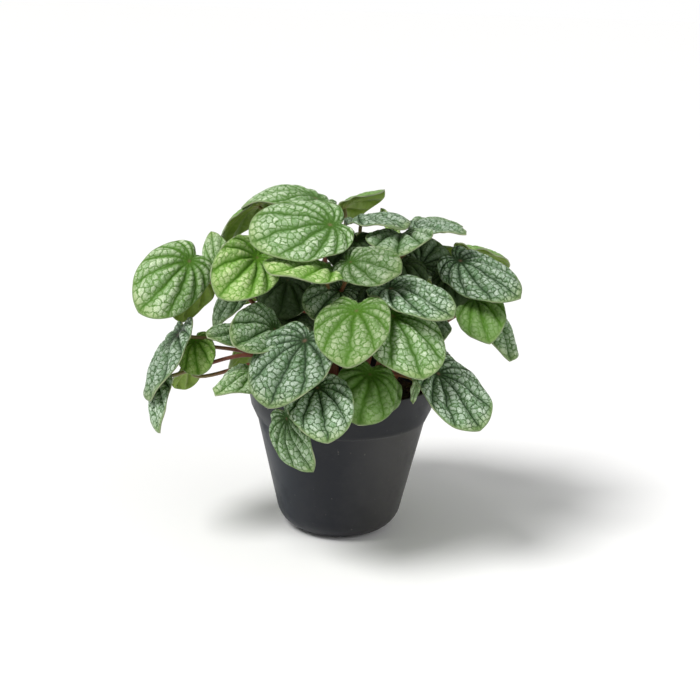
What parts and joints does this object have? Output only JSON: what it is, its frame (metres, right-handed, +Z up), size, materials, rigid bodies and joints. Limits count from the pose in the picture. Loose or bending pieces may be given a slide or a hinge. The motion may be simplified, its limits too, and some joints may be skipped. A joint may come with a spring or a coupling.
{
  "type": "potted peperomia plant",
  "caption": "Low bushy house plant with broad, silver-patterned heart-shaped leaves in a round dark plastic nursery pot filled with soil.",
  "frame": {"origin": "on the floor under the middle of the pot's flat foot", "axes": "+Z up, -Y the side seen in the picture, +X to the picture's right"},
  "size_m": [0.2351, 0.2106, 0.2158],
  "materials": {
    "pot_plastic": "dark blue-grey moulded plastic, satin, faintly dusty",
    "potting_soil": "dark crumbly peat-like soil, matte",
    "leaf": "green leaf with silver panels between sunken dark green veins, semi-gloss"
  },
  "bodies": {
    "root": {"pot": "pot_plastic", "soil": "potting_soil", "leafy_stem_front_left": "leaf", "leafy_stem_front": "leaf", "leafy_stem_front_right": "leaf", "leafy_stem_right": "leaf", "leafy_stem_left": "leaf", "leafy_stem_upper_left": "leaf", "leafy_stem_left_back": "leaf", "leafy_stem_top_front": "leaf", "leafy_stem_top": "leaf", "leafy_stem_top_right": "leaf", "leafy_stem_back_right": "leaf", "leafy_stem_back": "leaf", "leafy_stem_back_left": "leaf"}
  },
  "joints": []
}
